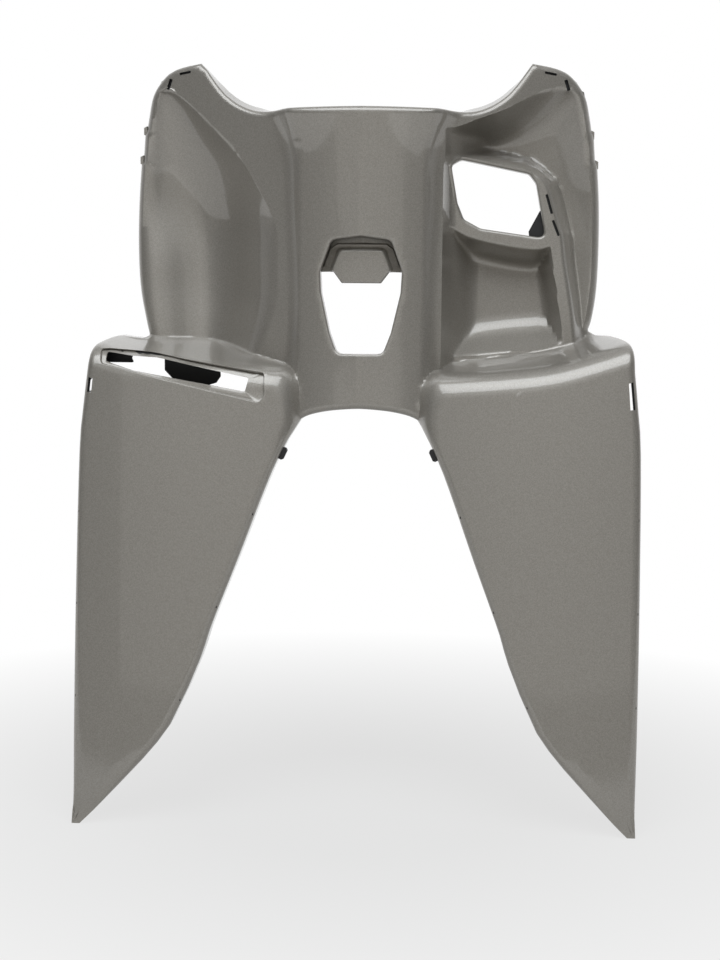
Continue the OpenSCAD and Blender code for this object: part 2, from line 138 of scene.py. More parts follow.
def distanceTo(line, x, z):
    best = np.full(np.shape(x), 1e9)
    for a, b in zip(line[:-1], line[1:]):
        dx, dz = b[0] - a[0], b[1] - a[1]
        t = np.clip(((x - a[0]) * dx + (z - a[1]) * dz) / (dx * dx + dz * dz), 0, 1)
        best = np.minimum(best, np.hypot(x - a[0] - dx * t, z - a[1] - dz * t))
    return best


def toEdge(x, z):
    return np.where(x < 0, distanceTo(halfOutline(-1), -x, z), distanceTo(halfOutline(1), x, z))


def columnEdge(z):
    return size["columnHalf"] + 14 * ease(555, 645, z) ** 2


def column(x, z):
    a, w = np.abs(x), columnEdge(z)
    u = np.minimum(a, w) / w
    front = -size["columnOut"] - 13 * ((z - 530) / 165) ** 2
    return front + size["columnCrown"] * u * u + 1.7 * np.maximum(a - w, 0)


def shoulderFace(x, z):
    return -48 + 0.42 * (np.abs(x) - 72) - 10 * ease(560, 420, z)


creaseX = curve([[405, 96], [420, 87], [455, 75], [491, 75], [523, 79], [555, 95], [586, 115], [606, 134],
                 [628, 157], [638, 169], [643, 178], [645, 192]])
rimX = curve([[400, 193], [414, 196], [440, 202], [468, 206.5], [508, 208], [546, 207.5], [581, 204],
              [609, 200], [622, 197], [642, 191], [658, 180]])


def hollow(x, z):
    c, r = creaseX(z), rimX(z)
    w = np.maximum(r - c, 1)
    s = np.clip((np.abs(x) - c) / w, 0, 1)
    crisp = ease(480, 585, z)
    return size["hollowRatio"] * w * mix(16 * s * s * (1 - s) ** 2, 4 * s * (1 - s), crisp)


hoodZ = curve([[60, 609], [81, 610], [104, 619], [122, 626], [140, 635], [162, 646], [200, 660]])
ridgeX = curve([[400, 195], [420, 195], [457, 190], [493, 184], [516, 181], [525, 178], [561, 167],
                [572, 160], [590, 145]])
blockTop = curve([[60, 579], [77, 582], [90, 586], [158, 574], [170, 570]])
rimFoot = curve([[60, 536], [69, 531], [96, 514], [155, 504], [180, 515]])
backLineRight = curve([[60, 399], [84, 400.5], [126, 404], [167, 409], [205, 419], [239, 430]])
backLineLeft = curve([[60, 403], [95, 407], [187, 414], [239, 424]])


def backLine(x):
    # where the shelf meets the lobe
    a = np.maximum(np.abs(x), 60)
    return mix(backLineLeft(a), backLineRight(a), ease(-60, 60, x))


def shelfLine(x):
    # where the wing's rolled top edge turns level
    return backLine(x) - size["shelfRise"]


def wallX(z):
    return mix(71, 73.5, ease(555, 645, z))


def cavity(x, z):
    s = np.clip((x - 72) / (rimX(z) - 72), 0, 1)
    floor = size["cavityDepth"] * (1 - s ** 2.5)
    sides = softMin(3.2 * (x - wallX(z)), mix(3.2, 1.6, ease(90, 170, x)) * (hoodZ(x) - z), 8)
    return np.maximum(softMin(sides, floor, mix(12, 34, ease(80, 120, x))), 0)


def block(x, z):
    out = softMax(x - ridgeX(z), z - blockTop(x), 14)
    return -30 + 0.12 * (x - 70) - 6 * ease(520, 430, z) + 4.5 * softMax(out, 0, 5)


def bowl(x, z):
    left, under = np.maximum(x - 70, 0), np.maximum(rimFoot(x) - z, 0)
    soft = softMin(left * left / (left + 3) * 3.4, 1.5 * (z - backLine(x) - 6), 44)
    crisp = softMin(3.4 * (ridgeX(z) - 14 - x), 0.35 * under + 2.6 * under * under / (under + 4), 6)
    return np.maximum(softMin(softMin(soft, crisp, 10), size["bowlDepth"], 18), 0)


def wing(x, z):
    a = np.abs(x)
    t = softMin(shelfLine(x) - z, 1.6 * (a - 53), 26)
    r = size["rollRadius"]
    return (-size["wingOut"] - size["wingLean"] * (1 - z / 400) + 0.0012 * (a - 165) ** 2
            + r * (1 - dome(t / r)) + 7 * np.maximum(-t, 0))


def cornerLip(x, z):
    # the fine raised arc at the top corner of each lobe
    u = (np.abs(x) - 184) / 8.5
    return 1.1 * np.exp(-((z - 646.8 + 3.2 * u * u) / 1.1) ** 2) * ease(1.15, 0.75, np.abs(u))


def faceY(x, z, edge=True):
    left = shoulderFace(x, z) + hollow(x, z)
    right = softMin(shoulderFace(x, z) + cavity(x, z), block(x, z) + bowl(x, z), 18)
    lobe = np.where(x < 0, left, right)
    join = mix(8, 24, ease(62, 100, np.abs(x)))
    y = softMin(softMin(lobe, column(x, z), 9), wing(x, z), join) - cornerLip(x, z)
    if edge:
        r = size["edgeRadius"] + 4 * ease(185, 200, np.abs(x)) * ease(430, 470, z) * ease(650, 620, z)
        r = r * ease(-12, 40, z)
        y = y + r * (1 - dome(toEdge(x, z) / r))
    return y


# ---- grid of the face: columns follow the creases, rows follow the arch, the shelf and the top edge

archRow, topRow = 352, 655
archCurve = np.array(lineThrough(archLine + [[-20, 359.5]], 4))[::-1]
topCurve = np.array([[0, 624.5]] + lineThrough(neck, 6) + lineThrough(shoulder, 4))
rowLines = [386, 393, 520, 578, 622, topRow]


def rowZ(v, x):
    # height of row v at x: the rows in rowLines follow the shelf, the pocket, the hood and the top edge
    v, x = np.broadcast_arrays(np.asarray(v, float), np.asarray(x, float))
    a, right = np.abs(x), ease(-20, 60, x)
    p = np.maximum(x, 60)
    top = np.where(a > 190, topRow, np.interp(a, topCurve[:, 0], topCurve[:, 1]))
    shift = [shelfLine(x) - 386, backLine(x) - 393, right * (rimFoot(np.minimum(p, 180)) - 520),
             right * (blockTop(np.minimum(p, 170)) - 578),
             mix((top - topRow) * 0.71, softMin(hoodZ(p), top - 9, 8) - 622, right),
             top - topRow]
    out = shift[0] * ease(290, 386, v)
    for k in range(5):
        t = np.clip((v - rowLines[k]) / (rowLines[k + 1] - rowLines[k]), 0, 1)
        out = np.where(v > rowLines[k], mix(shift[k], shift[k + 1], t), out)
    arch = np.interp(np.minimum(a, 51.5), archCurve[:, 0], archCurve[:, 1]) - archRow
    arch = arch - shift[0] * ease(290, 386, archRow)
    arch = np.where(v < archRow, 0, arch * ease(420, archRow, v) * ease(80, 52, a))
    return v + out + arch


def rowOf(point, side):
    v = point[1]
    for _ in range(40):
        v = v + 0.7 * (point[1] - float(rowZ(v, side * point[0])))
    return v


outerKeys, innerKeys = {}, {}
for side in (-1, 1):
    outer = (lineThrough(shoulder, 4) + sideUpper + lineThrough(sideLower[side], 4)
             + lineThrough(wingCorner[side], 4) + lineThrough(wingOuter, 4))
    outer = [[245, 0]] + [p for p in outer if p[1] < 653][::-1] + [[190, topRow]]
    for keys, line in ((outerKeys, outer), (innerKeys, lineThrough(wingHeel, 5) + lineThrough(wingInner, 4)
                                            + [wingInner[-1]])):
        keys[side] = np.array([[rowOf(p, side), p[0]] for p in line])
        keys[side][:, 0] = np.maximum.accumulate(keys[side][:, 0] + np.arange(len(line)) * 1e-6)


def outerX(v, side):
    return np.interp(v, outerKeys[side][:, 0], outerKeys[side][:, 1])


def innerX(v, side):
    return np.where(v <= archRow, np.interp(v, innerKeys[side][:, 0], innerKeys[side][:, 1]),
                    mix(51.5, columnEdge(v), ease(archRow, 400, v)))


edgeParts = [0, 0.12, 0.45, 1, 1.65, 2.4]
leftSteps = [1, 1, 1, 1, 1, 12, 14, 3, 3, 10, 7, 4, 2, 1, 1, 1]
middleSteps = [30]
rightSteps = [1, 1, 1, 1, 5, 6, 10, 24, 8, 13, 16, 1, 1, 1, 1, 1]


def stopsLeft(v):
    o, n, q = outerX(v, -1), innerX(v, -1), ease(300, 405, v)
    e = mix(np.minimum(3.5, (o - n) * 0.055), 2.4, q)
    f = o - 2.4 * e
    c = mix(mix(n, o, 0.4), creaseX(np.maximum(v, 405)), q)
    c = np.minimum(c, o - 3 * e)
    g = np.minimum(2.0, (f - c) / 2)
    return ([k * e - o for k in edgeParts]
            + [-c - 0.35 * (f - c) - g, -c - g, -c, -c + np.minimum(2, (c - n) / 6)]
            + [-mix(n, c, k) for k in (0.45, 0.24, 0.1, 0.045, 0.015, 0.004)] + [-n])


def stopsRight(v):
    o, n, q = outerX(v, 1), innerX(v, 1), ease(300, 405, v)
    e = mix(np.minimum(3.5, (o - n) * 0.055), 2.4, q)
    f, w = o - 2.4 * e, wallX(v)
    ridge = np.minimum(ridgeX(np.clip(v, 400, 590)), o - 3.4 * e)
    plain = ([n + k * e for k in (0, 0.1, 0.35, 0.7, 1, 2.3)]
             + [mix(n, o, k) for k in (0.2, 0.35, 0.7, 0.8, 0.86)])
    fitted = ([mix(n, w, k) for k in (0, 0.12, 0.25, 0.38, 0.5)]
              + [w, w + 6, w + 21, ridge - 15, ridge - 3.5, ridge + np.minimum(4.5, 0.5 * (f - ridge))])
    return [mix(a, b, q) for a, b in zip(plain, fitted)] + [o - k * e for k in edgeParts[::-1]]


def between(stops, steps):
    out = []
    for i, n in enumerate(steps):
        out += [mix(stops[i], stops[i + 1], k / n) for k in range(n)]
    return out


def rowX(v):
    return np.array(between(stopsLeft(v), leftSteps) + between([-innerX(v, -1), innerX(v, 1)], middleSteps)
                    + between(stopsRight(v), rightSteps) + [outerX(v, 1)])


def evenly(groups):
    return np.concatenate([np.linspace(a, b, n) for a, b, n in groups])


rowValues = np.concatenate([
    [0, 1, 3, 6, 11], evenly([(16, 34, 4), (58, 88, 3), (120, 343, 19)]),
    [archRow, 352.15, 352.6, 353.4, 354.7, 356.5, 358.5, 361],
    evenly([(364, 386, 18), (387, 393, 6), (394, 406, 8), (409, 500, 36), (502, 517, 10), (518, 526, 8),
            (528, 570, 19), (572, 584, 19), (587, 614, 13), (616, 628, 12), (630, 648, 16)]),
    [649, 650, 651, 652, 652.9, 653.7, 654.3, 654.75, topRow]])
archIndex = int(np.searchsorted(rowValues, archRow))
gapLeft = sum(leftSteps)
gapRight = gapLeft + sum(middleSteps)
edgeCount = sum(leftSteps + middleSteps + rightSteps)


# ---- openings, as closed outlines in x and z

def rounded(points, radius, steps=6):
    # corner points to a loop with round corners
    out = []
    p = [Vector(q) for q in points]
    for i, b in enumerate(p):
        a, c = p[i - 1], p[(i + 1) % len(p)]
        u, w = (a - b).normalized(), (c - b).normalized()
        half = math.acos(max(-1, min(1, u.dot(w)))) / 2
        reach = min(radius / math.tan(half), (a - b).length * 0.45, (c - b).length * 0.45)
        start, end = b + u * reach, b + w * reach
        for k in range(steps + 1):
            t = k / steps
            out.append(start.lerp(b, t).lerp(b.lerp(end, t), t))
    return np.array([[q.x, q.y] for q in out])


openings = {
    "lock": {
        "line": rounded([(-26, 509), (0, 512.5), (26, 509), (36, 482), (35, 463), (27, 428), (20, 409.5),
                         (-20, 409.5), (-27, 428), (-35, 463), (-36, 482)], 7),
        "roll": 2.2, "collar": 16},
    "pocket": {
        "line": rounded([(78, 577), (87, 582.5), (148, 570.5), (154.5, 562), (163.8, 513.5), (105, 521.5),
                         (90, 529.5), (84, 544)], 6),
        "roll": 3, "collar": 14},
    "slot": {
        "line": rounded([(-229, 412.5), (-186, 408), (-84, 392), (-83, 373), (-88, 367), (-228, 399.5)], 3),
        "inner": rounded([(-224, 409.5), (-202, 406), (-179, 404.6), (-97, 388), (-100, 376), (-138, 383),
                          (-200, 393.6), (-224, 401)], 2),
        "roll": 0.8, "collar": size["rebateDepth"]},
}


def bar(x, z, width, height, turn):
    # outline of a small slot with round corners
    a = math.radians(turn)
    corners = [(-1, -1), (1, -1), (1, 1), (-1, 1)]
    return rounded([(x + math.cos(a) * i * width / 2 - math.sin(a) * j * height / 2,
                     z + math.sin(a) * i * width / 2 + math.cos(a) * j * height / 2)
                    for i, j in corners], 0.9, 3)


# blind slots with a floor of bare black plastic, painted shade that stands in for the dark inside open slots:
# two at each shoulder corner, two in the pocket block's right band
blindSlots = ([bar(side * 166, 660.5, 11, 2.2, side * -8) for side in (-1, 1)]
              + [bar(side * 181.5, 651, 3.2, 10, side * 18) for side in (-1, 1)]
              + [bar(166.6, 544, 2.4, 18, 16.6), bar(173.1, 522.6, 2.4, 15, 22)])

# small windows beside the outer edge at the top of each wing: side, lowest and highest row
edgeWindows = [(-1, archRow, 361), (1, 343, 358.5)]


def inside(line, x, z):
    hit = np.zeros(np.shape(x), bool)
    for a, b in zip(line, np.roll(line, -1, axis=0)):
        crosses = (a[1] > z) != (b[1] > z)
        with np.errstate(divide="ignore", invalid="ignore"):
            at = (b[0] - a[0]) * (z - a[1]) / (b[1] - a[1]) + a[0]
        hit ^= crosses & (x < at)
    return hit


def nearestOn(line, x, z):
    closed = np.vstack([line, line[:1]])
    best, bx, bz = np.full(np.shape(x), 1e9), np.array(x, float), np.array(z, float)
    for a, b in zip(closed[:-1], closed[1:]):
        dx, dz = b[0] - a[0], b[1] - a[1]
        if dx * dx + dz * dz < 1e-9:
            continue
        t = np.clip(((x - a[0]) * dx + (z - a[1]) * dz) / (dx * dx + dz * dz), 0, 1)
        px, pz = a[0] + dx * t, a[1] + dz * t
        d = np.hypot(x - px, z - pz)
        near = d < best
        best, bx, bz = np.where(near, d, best), np.where(near, px, bx), np.where(near, pz, bz)
    return bx, bz


def grown(line, amount):
    # closed outline moved outwards
    ahead, behind = np.roll(line, -1, axis=0), np.roll(line, 1, axis=0)
    t = ahead - behind
    t /= np.maximum(np.hypot(t[:, 0], t[:, 1])[:, None], 1e-9)
    normal = np.stack([t[:, 1], -t[:, 0]], 1)
    area = np.sum(line[:, 0] * ahead[:, 1] - ahead[:, 0] * line[:, 1])
    return line + normal * amount * (1 if area > 0 else -1)


def dense(line, step):
    # closed outline with a point at least every step
    out = []
    for a, b in zip(line, np.roll(line, -1, axis=0)):
        n = max(1, math.ceil(np.hypot(*(b - a)) / step))
        out += [a + (b - a) * k / n for k in range(n)]
    return np.array(out)


wholeOutline = np.vstack([halfOutline(1), halfOutline(-1)[::-1] * [-1, 1]])


def fromEdge(x, z):
    # distance to the panel's outline, negative outside it
    return toEdge(x, z) * np.where(inside(wholeOutline, x, z), 1, -1)


def inwardShift(x, z):
    # moves points near the outer edge inwards by the wall, fading out over 8 mm
    h, steps = 0.4, 5
    amount = size["wall"] * np.clip(1 - toEdge(x, z) / 8, 0, 1) * np.clip(z / 16, 0.12, 1)
    near = amount > 0
    a, b, amount = x[near], z[near], amount[near] / steps
    for _ in range(steps):
        gx = (fromEdge(a + h, b) - fromEdge(a - h, b)) / (2 * h)
        gz = (fromEdge(a, b + h) - fromEdge(a, b - h)) / (2 * h)
        a, b = a + gx * amount, b + gz * amount
    outX, outZ = x.copy(), z.copy()
    outX[near], outZ[near] = a, b
    return outX, outZ


def toFrame(x, y, z):
    return Vector((x / 1000, (y - size["originY"]) / 1000, (z - size["originZ"]) / 1000))


def boundaryLoops(bm):
    left = {e for e in bm.edges if e.is_boundary}
    loops = []
    while left:
        edge = left.pop()
        loop, start, v = [edge.verts[0]], edge.verts[0], edge.verts[1]
        while v is not start:
            loop.append(v)
            step = next(e for e in v.link_edges if e in left)
            left.discard(step)
            v = step.other_vert(v)
        loops.append(loop)
    return loops


def loopEdges(loop):
    out = []
    for a, b in zip(loop, loop[1:] + loop[:1]):
        out.append(next(e for e in a.link_edges if e.other_vert(a) is b))
    return out


def extrudeLoop(bm, loop, place, material=0):
    # extrudes a boundary loop once; place(k, point) gives each new point, in metres
    made = bmesh.ops.extrude_edge_only(bm, edges=loopEdges(loop))
    fresh = {v for v in made["geom"] if isinstance(v, bmesh.types.BMVert)}
    for f in made["geom"]:
        if isinstance(f, bmesh.types.BMFace):
            f.material_index = material
    out = []
    for v in loop:
        out.append(next(e.other_vert(v) for e in v.link_edges if e.other_vert(v) in fresh
                        and not e.is_boundary))
    for k, v in enumerate(out):
        v.co = place(k, v.co)
    return out


def bridge(bm, one, other, material=1):
    made = bmesh.ops.bridge_loops(bm, edges=loopEdges(one) + loopEdges(other))
    for f in made["faces"]:
        f.material_index = material


def stack(bm, rings, material):
    # closed solid through rings of points in millimetres, with a flat cap at each end
    loops = [[bm.verts.new(toFrame(*p)) for p in ring] for ring in rings]
    faces = [bm.faces.new(loops[0]), bm.faces.new(loops[-1])]
    for one, other in zip(loops[:-1], loops[1:]):
        n = len(one)
        faces += [bm.faces.new([one[k], one[(k + 1) % n], other[(k + 1) % n], other[k]]) for k in range(n)]
    for f in faces:
        f.material_index = material


def plate(bm, line, y0, y1, material, soft=0.4):
    # flat plate with its outline in x and z and softened edges
    line, small = np.array(line, float), grown(np.array(line, float), -soft)
    levels = [(small, y0), (line, y0 + soft), (line, y1 - soft), (small, y1)]
    stack(bm, [[(p[0], y, p[1]) for p in ring] for ring, y in levels], material)


def crossing(bm, faces, line):
    # the faces that a closed outline covers or passes through
    samples = np.vstack([dense(grown(line, 0.5), 0.3), dense(line, 0.3)])
    low, high = samples.min(axis=0), samples.max(axis=0)
    out = []
    for f in faces:
        centre = f.calc_center_median()
        if not (low[0] - 9 < centre.x < high[0] + 9 and low[1] - 9 < centre.z < high[1] + 9):
            continue
        flat = np.array([[v.co.x, v.co.z] for v in f.verts])
        middle = flat.mean(axis=0)
        if inside(line, middle[0], middle[1]) or inside(flat, samples[:, 0], samples[:, 1]).any():
            out.append(f)
    return out


def cutSlots(bm):
    # opens each blind slot in the flat grid (x and z in millimetres) and fills up to its outline
    loops = []
    for line in blindSlots:
        doomed = crossing(bm, list(bm.faces), line)
        touched = {e for f in doomed for e in f.edges}
        border = [e for e in touched if sum(f in doomed for f in e.link_faces) == 1]
        bmesh.ops.delete(bm, geom=doomed, context="FACES")
        border = [e for e in border if e.is_valid]
        loop = [bm.verts.new((p[0], 0, p[1])) for p in dense(line, 1.0)]
        rim = [bm.edges.new((a, b)) for a, b in zip(loop, loop[1:] + loop[:1])]
        bmesh.ops.triangle_fill(bm, use_beauty=True, edges=border + rim, normal=(0, -1, 0))
        for e in rim:
            for f in list(e.link_faces):
                middle = f.calc_center_median()
                if inside(line, middle.x, middle.z):
                    bmesh.ops.delete(bm, geom=[f], context="FACES_ONLY")
        loops.append(loop)
    return loops


def flatGrid(bm):
    # the face's grid, flat in x and z, without the gap between the wings and the openings
    nx, nz = edgeCount, len(rowValues) - 1
    bmesh.ops.create_grid(bm, x_segments=nx, y_segments=nz, size=1)
    x = np.array([rowX(row) for row in rowValues])
    z = rowZ(np.broadcast_to(rowValues[:, None], x.shape), x)
    cell = {}
    for vert in bm.verts:
        i, j = round((vert.co.x + 1) / 2 * nx), round((vert.co.y + 1) / 2 * nz)
        cell[vert] = (i, j)
        vert.co = (x[j, i], 0, z[j, i])
    faces = list(bm.faces)
    i, j = (np.array([sum(cell[q][k] for q in f.verts) / 4 for f in faces]) for k in (0, 1))
    middle = np.array([f.calc_center_median() for f in faces])
    gone = (j < archIndex) & (i > gapLeft) & (i < gapRight)
    for hole in openings.values():
        gone |= inside(hole["edge"], middle[:, 0], middle[:, 2])
    for side, low, high in edgeWindows:
        depth, row = (i if side < 0 else nx - i), rowValues[j.astype(int)]
        gone |= (row >= low) & (row < high) & (depth > 3) & (depth < 5)
    bmesh.ops.delete(bm, geom=[f for f, hit in zip(faces, gone) if hit], context="FACES")


def middleOf(loop):
    return np.mean([[v.co.x, v.co.z] for v in loop], axis=0)


def buildPanel():
    bm = bmesh.new()
    for hole in openings.values():
        hole["edge"] = grown(hole["line"], hole["roll"])
    flatGrid(bm)
    loops = sorted(boundaryLoops(bm), key=len)
    outer, holeLoops = loops[-1], loops[:-1]
    for hole in openings.values():
        centre = hole["edge"].mean(axis=0)
        loop = min(holeLoops, key=lambda q: np.hypot(*(middleOf(q) - centre)))
        holeLoops.remove(loop)
        hole["loop"] = loop
        px, pz = nearestOn(hole["edge"], np.array([q.co.x for q in loop]), np.array([q.co.z for q in loop]))
        for q, a, b in zip(loop, px, pz):
            q.co = (a, 0, b)
    slots = cutSlots(bm)
    frontVerts = list(bm.verts)
    px, pz = np.array([q.co.x for q in frontVerts]), np.array([q.co.z for q in frontVerts])
    py = faceY(px, pz)
    # the outer edge takes its depth from the outline itself, so that its back edge runs straight
    indexOf = {q: k for k, q in enumerate(frontVerts)}
    rim = [indexOf[q] for q in outer]
    py[rim] = faceY(*nearestOn(wholeOutline, px[rim], pz[rim]))
    step = 0.8
    slopeX = (faceY(px + step, pz, False) - faceY(px - step, pz, False)) / (2 * step)
    slopeZ = (faceY(px, pz + step, False) - faceY(px, pz - step, False)) / (2 * step)
    wallY = size["wall"] * np.minimum(np.sqrt(1 + slopeX ** 2 + slopeZ ** 2), 5)
    wallY = wallY + 3 * np.clip(1 - pz / 70, 0, 1)
    for k, vert in enumerate(frontVerts):
        vert.co = toFrame(px[k], py[k], pz[k])
    bmesh.ops.recalc_face_normals(bm, faces=list(bm.faces))
    if sum(f.normal.y for f in bm.faces) > 0:
        bmesh.ops.reverse_faces(bm, faces=list(bm.faces))
    # the hidden side, on the same grid
    made = bmesh.ops.duplicate(bm, geom=frontVerts + list(bm.edges) + list(bm.faces))
    twin = made["vert_map"]
    backFaces = [f for f in made["geom"] if isinstance(f, bmesh.types.BMFace)]
    bmesh.ops.reverse_faces(bm, faces=backFaces)
    for f in backFaces:
        f.material_index = 1
    bx, bz = inwardShift(px, pz)
    for k, vert in enumerate(frontVerts):
        twin[vert].co = toFrame(bx[k], py[k] + wallY[k], bz[k])
    # blind slots: a black floor in the face, none in the back; the floor is painted shade, standing in for the
    # dark seen into open slots
    for loop in slots:
        low = extrudeLoop(bm, loop, lambda k, co: co + Vector((0, 0.0022, 0)), 1)
        bm.faces.new(low).material_index = 1
        bm.faces.new([twin[q] for q in loop]).material_index = 1
    # outer edge: flange and its rim, flared behind the neck
    depth = size["flangeDepth"] / 1000
    lift = []
    for q in outer:
        a = abs(q.co.x * 1000)
        high = q.co.z * 1000 > -size["originZ"] + 600 + 15
        lift.append(size["neckFlare"] / 1000 * ease(72, 100, a) * ease(149, 128, a) if high else 0)
    reach = [0.15 if q.co.x < 0 and -0.2255 < q.co.z < -0.214 and q.co.x < -0.2 else 1 for q in outer]
    outerBack = [twin[q] for q in outer]
    for k, q in enumerate(outerBack):
        q.co.y = min(q.co.y, outer[k].co.y + depth / 2 * reach[k])
    low = outer
    for share in (0.1, 0.55, 1):
        low = extrudeLoop(bm, low, lambda k, co: Vector((co.x, outer[k].co.y + depth * share * reach[k],
                                                        outer[k].co.z + lift[k] * share)))
    lowInner = extrudeLoop(bm, outerBack, lambda k, co: Vector((
        co.x, outer[k].co.y + depth * reach[k], co.z + lift[k])), 1)
    bridge(bm, low, lowInner, 0)
    for loop in holeLoops:
        end = extrudeLoop(bm, loop, lambda k, co: co + Vector((0, 0.0015, 0)))
        bridge(bm, end, [twin[q] for q in loop])
    # openings: a rolled edge, then a collar, or the slot's rebate
    for hole in openings.values():
        loop = hole["loop"]
        backLoop = [twin[q] for q in loop]
        base = [q.co.copy() for q in loop]
        flat = np.array([[q.co.x * 1000, q.co.z * 1000 + size["originZ"]] for q in loop])
        qx, qz = nearestOn(hole["line"], flat[:, 0], flat[:, 1])
        roll = hole["roll"] / 1000
        current = loop
        steps = 5
        for k in range(1, steps + 1):
            a = math.pi / 2 * k / steps
            share, drop = math.sin(a), roll * (1 - math.cos(a))
            current = extrudeLoop(bm, current, lambda k, co: Vector((
                mix(base[k].x, qx[k] / 1000, share), base[k].y + drop,
                mix(base[k].z, (qz[k] - size["originZ"]) / 1000, share))))
        deep = hole["collar"] / 1000
        if "inner" in hole:
            # floor of the rebate, a small round, then the wall behind
            ix, iz = nearestOn(hole["inner"], flat[:, 0], flat[:, 1])
            iy = faceY(ix, iz)
            edgeIn = [toFrame(ix[k], iy[k] + hole["collar"], iz[k]) for k in range(len(loop))]
            current = extrudeLoop(bm, current, lambda k, co: Vector((
                co.x, base[k].y + deep - 0.0008, co.z)))
            current = extrudeLoop(bm, current, lambda k, co: (
                co.lerp(edgeIn[k], 0.12) + Vector((0, 0.0007, 0))))
            current = extrudeLoop(bm, current, lambda k, co: co.lerp(edgeIn[k], 0.9))
            current = extrudeLoop(bm, current, lambda k, co: edgeIn[k] + Vector((0, 0.0004, 0)))
            end = extrudeLoop(bm, current, lambda k, co: edgeIn[k] + Vector((0, size["wall"] / 1000, 0)))
            backEnd = extrudeLoop(bm, backLoop, lambda k, co: Vector((
                co.x, base[k].y + deep + size["wall"] / 1000, co.z)), 1)
        else:
            end = extrudeLoop(bm, current, lambda k, co: Vector((co.x, base[k].y + deep, co.z)))
            backEnd = extrudeLoop(bm, backLoop, lambda k, co: Vector((co.x, base[k].y + deep, co.z)), 1)
        bridge(bm, end, backEnd)
    print("panel faces", len(bm.faces), "open edges", sum(e.is_boundary for e in bm.edges))
    addTongue(bm)
    addFixings(bm)
    bmesh.ops.remove_doubles(bm, verts=list(bm.verts), dist=1e-7)
    low, high = Vector(cadBox[0]), Vector(cadBox[1])
    for q in bm.verts:
        q.co = [min(max(c, a), b) for c, a, b in zip(q.co, low, high)]
    bmesh.ops.recalc_face_normals(bm, faces=list(bm.faces))
    return bm


def radiusAt(line, centre, turns):
    # distance from the centre to a closed outline in each direction
    out = np.full(len(turns), 0.0)
    for a, b in zip(line, np.roll(line, -1, axis=0)):
        d = b - a
        for k, t in enumerate(turns):
            u = np.array([math.cos(t), math.sin(t)])
            det = u[0] * -d[1] + u[1] * d[0]
            if abs(det) < 1e-9:
                continue
            w = a - centre
            r, s = (w[0] * -d[1] + w[1] * d[0]) / det, (u[0] * w[1] - u[1] * w[0]) / det
            if r > 0 and -1e-6 <= s <= 1 + 1e-6:
                out[k] = max(out[k], r)
    return out


def addTongue(bm):
    # latch tongue in the top of the lock opening: a plate, a groove above it and a raised pad
    centre = np.array([0.0, 486.5])
    foot = [(25, 481.5), (17.5, 471.5), (-17.5, 471.5), (-25, 481.5)]
    outlines = [
        rounded([(-39, 481), (-37, 484), (-27, 512), (0, 515.5), (27, 512), (37, 484), (39, 481)] + foot, 1.5),
        rounded([(-35.4, 481), (-34.6, 484), (-28, 501.5), (-22, 505.8), (22, 505.8), (28, 501.5),
                 (34.6, 484), (35.4, 481)] + foot, 2.5),
        rounded([(-22, 501), (-18.5, 503), (18.5, 503), (22, 501), (28.5, 483), (25.5, 481.3)] + foot[1:3]
                + [(-25.5, 481.3), (-28.5, 483)], 3),
        rounded([(-19.5, 497.5), (-16.5, 499.6), (16.5, 499.6), (19.5, 497.5), (24.8, 484), (24, 481),
                 (16.8, 472.6), (-16.8, 472.6), (-24, 481), (-24.8, 484)], 3),
    ]
    turns = np.linspace(0, 2 * math.pi, 180, endpoint=False)
    collar, rim, padFoot, padTop = [radiusAt(line, centre, turns) for line in outlines]
    deep, rise, wall = size["tongueIn"], size["padRise"], size["wall"]

    def ring(radius, depth):
        x, z = centre[0] + radius * np.cos(turns), centre[1] + radius * np.sin(turns)
        return list(zip(x, column(x, z) + depth, z))

    free = turns > math.pi
    groove = np.where(free, 0, 4.0)
    rings = [ring(collar * 0.02, deep + wall), ring(collar, deep + wall + groove),
             ring(collar, deep + 0.6 + groove),
             ring(np.where(free, collar - 0.15, mix(collar, rim, 0.5)), deep + 0.2 + groove),
             ring(np.where(free, collar - 0.5, mix(collar, rim, 0.85)), deep + groove),
             ring(np.where(free, collar - 0.6, rim + 0.15), deep + groove * 0.6),
             ring(np.where(free, collar - 0.7, rim), deep + groove * 0.15),
             ring(np.minimum(rim - 0.5, collar - 0.8), deep)]
    padFoot = np.minimum(padFoot, rim - 0.9)
    padTop = np.minimum(padTop, padFoot - 0.4)
    for share, lift in ((0, 0), (0.12, 0.06), (0.3, 0.3), (0.62, 0.72), (0.85, 0.93), (1, 1)):
        rings.append(ring(mix(padFoot, padTop, share), deep - rise * lift))
    for share in (0.96, 0.85, 0.65, 0.4, 0.15):
        rings.append(ring(padTop * share, deep - rise))
    stack(bm, rings, 0)


def edgeAt(z, side, table):
    # x of the outer or inner edge of a wing at a height
    keys = np.array([[p[1], p[0]] for p in table])
    order = np.argsort(keys[:, 0])
    return side * np.interp(z, keys[order, 0], keys[order, 1])


def addRib(bm, ends, along):
    # thin rib behind the face, along x or z
    rings = []
    for t in np.linspace(0, 1, 24):
        x, z = mix(ends[0][0], ends[1][0], t), mix(ends[0][1], ends[1][1], t)
        ring = []
        for side, depth in ((-1, 1.5), (1, 1.5), (0.8, size["ribDepth"]), (-0.8, size["ribDepth"])):
            a, b = (x, z + side * 0.9) if along == "x" else (x + side * 0.9, z)
            ring.append((a, float(faceY(np.array(a), np.array(b), False)) + depth, b))
        rings.append(ring)
    stack(bm, rings, 1)


bossPlaces = [(0, 600), (0, 384), (-152, 655), (152, 655), (-222, 388), (222, 388), (-226, 150), (226, 150),
              (-112, 236), (112, 236)]


